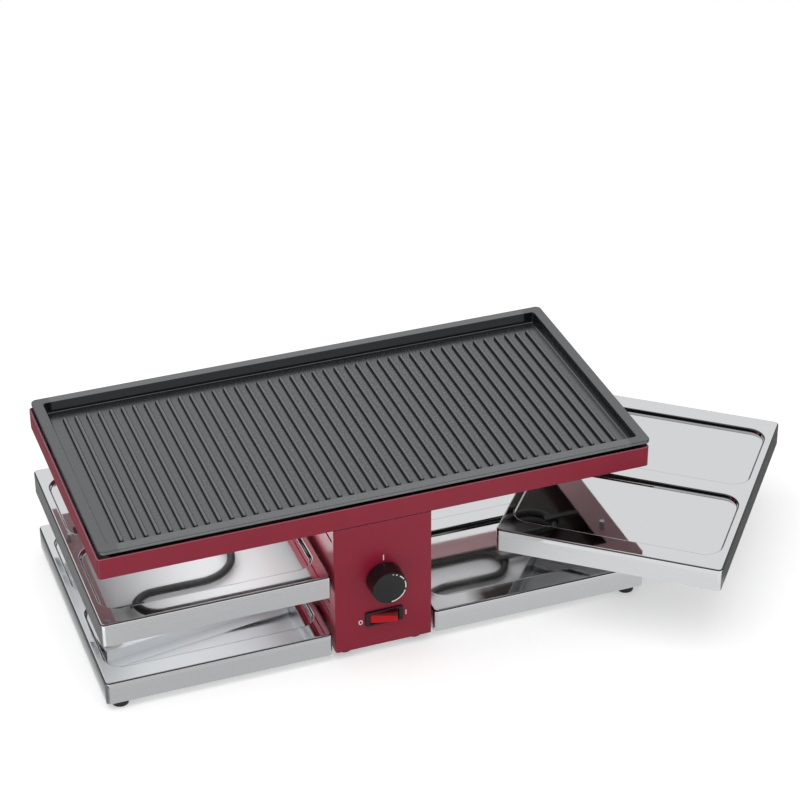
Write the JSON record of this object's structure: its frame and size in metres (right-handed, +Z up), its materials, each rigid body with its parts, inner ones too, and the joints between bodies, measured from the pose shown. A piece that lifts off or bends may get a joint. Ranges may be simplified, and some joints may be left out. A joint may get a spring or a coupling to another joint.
{
  "type": "raclette grill",
  "caption": "Tabletop raclette grill: ribbed grill plate on a heated frame over a red column, with swing-out upper trays and fixed lower trays for pans.",
  "frame": {"origin": "on the table plane, under the middle of the column", "axes": "+X to the right along the grill plate's length, +Y to the back, +Z up"},
  "size_m": [0.6012, 0.3241, 0.1465],
  "materials": {
    "red_powder_coat": "satin",
    "polished_steel": "polished",
    "zinc_steel": "satin",
    "cast_aluminium_coated": "textured",
    "element_sheath": "matte",
    "black_plastic": "matte",
    "red_plastic": "gloss",
    "slide_plastic": "matte",
    "rubber_black": "matte",
    "ceramic_white": "matte",
    "brass_metal": "satin",
    "wire_sleeve": "matte"
  },
  "bodies": {
    "root": {"housing": "red_powder_coat", "back_cover": "red_powder_coat", "top_frame": "red_powder_coat", "housing_floor": "zinc_steel", "top_bracket": "zinc_steel", "base_bars": "zinc_steel", "left_base_plate": "zinc_steel", "right_base_plate": "zinc_steel", "left_lower_tray": "polished_steel", "right_lower_tray": "polished_steel", "left_post": "zinc_steel", "right_post": "zinc_steel", "post_washers": "zinc_steel", "post_cap_screws": "zinc_steel", "post_foot_screws": "zinc_steel", "tray_feet": "rubber_black", "column_feet": "rubber_black", "tray_foot_screws": "zinc_steel", "column_foot_screws": "zinc_steel", "base_bar_screws": "zinc_steel", "column_bar_bolts": "zinc_steel", "cover_screws": "zinc_steel", "frame_screws": "zinc_steel", "plate_rests": "zinc_steel", "rest_screws": "zinc_steel", "heating_element": "element_sheath", "element_clips": "zinc_steel", "terminal_beads": "ceramic_white", "terminal_pins": "brass_metal", "thermostat_body": "black_plastic", "thermostat_nut": "brass_metal", "switch_body": "black_plastic", "switch_tabs": "brass_metal", "power_inlet": "black_plastic", "inlet_pins": "brass_metal", "inlet_screws": "zinc_steel", "terminal_block": "ceramic_white", "terminal_sleeves": "brass_metal", "supply_wires": "wire_sleeve", "control_wires": "wire_sleeve"},
    "grill_plate": {"grill_plate": "cast_aluminium_coated"},
    "knob": {"knob": "black_plastic", "knob_spindle": "zinc_steel"},
    "rocker": {"rocker": "red_plastic"},
    "left_shoe": {"left_shoe": "slide_plastic"},
    "right_shoe": {"right_shoe": "slide_plastic"},
    "left_tray": {"left_upper_tray": "polished_steel", "left_guide_rail": "zinc_steel"},
    "right_tray": {"right_upper_tray": "polished_steel", "right_guide_rail": "zinc_steel"}
  },
  "joints": [
    {"name": "grill_plate_lift", "type": "slide", "parent": "root", "child": "grill_plate", "axis": [0, 0, 1], "range_m": [0, 0.06]},
    {"name": "knob_turn", "type": "hinge", "parent": "root", "child": "knob", "pos_m": [0, -0.11285, 0.07], "axis": [0, -1, 0], "range_deg": [0, 170]},
    {"name": "rocker_tilt", "type": "hinge", "parent": "root", "child": "rocker", "pos_m": [0, -0.1109, 0.0336], "axis": [0, 0, 1], "range_deg": [0, 24]},
    {"name": "left_tray_turn", "type": "hinge", "parent": "root", "child": "left_shoe", "pos_m": [-0.192, 0, 0.066], "axis": [0, 0, 1], "range_deg": [0, 38.5]},
    {"name": "left_tray_slide", "type": "slide", "parent": "left_shoe", "child": "left_tray", "axis": [-0.9882, -0.1532, 0], "range_m": [0, 0.13908]},
    {"name": "right_tray_turn", "type": "hinge", "parent": "root", "child": "right_shoe", "pos_m": [0.192, 0, 0.066], "axis": [0, 0, 1], "range_deg": [0, 38.5]},
    {"name": "right_tray_slide", "type": "slide", "parent": "right_shoe", "child": "right_tray", "axis": [-0.678, 0.735, 0], "range_m": [0, 0.13908]}
  ],
  "couplings": [
    {"joint": "left_tray_slide", "follows": "left_tray_turn", "m_per_rad": 0.20698},
    {"joint": "right_tray_slide", "follows": "right_tray_turn", "m_per_rad": 0.20698}
  ]
}
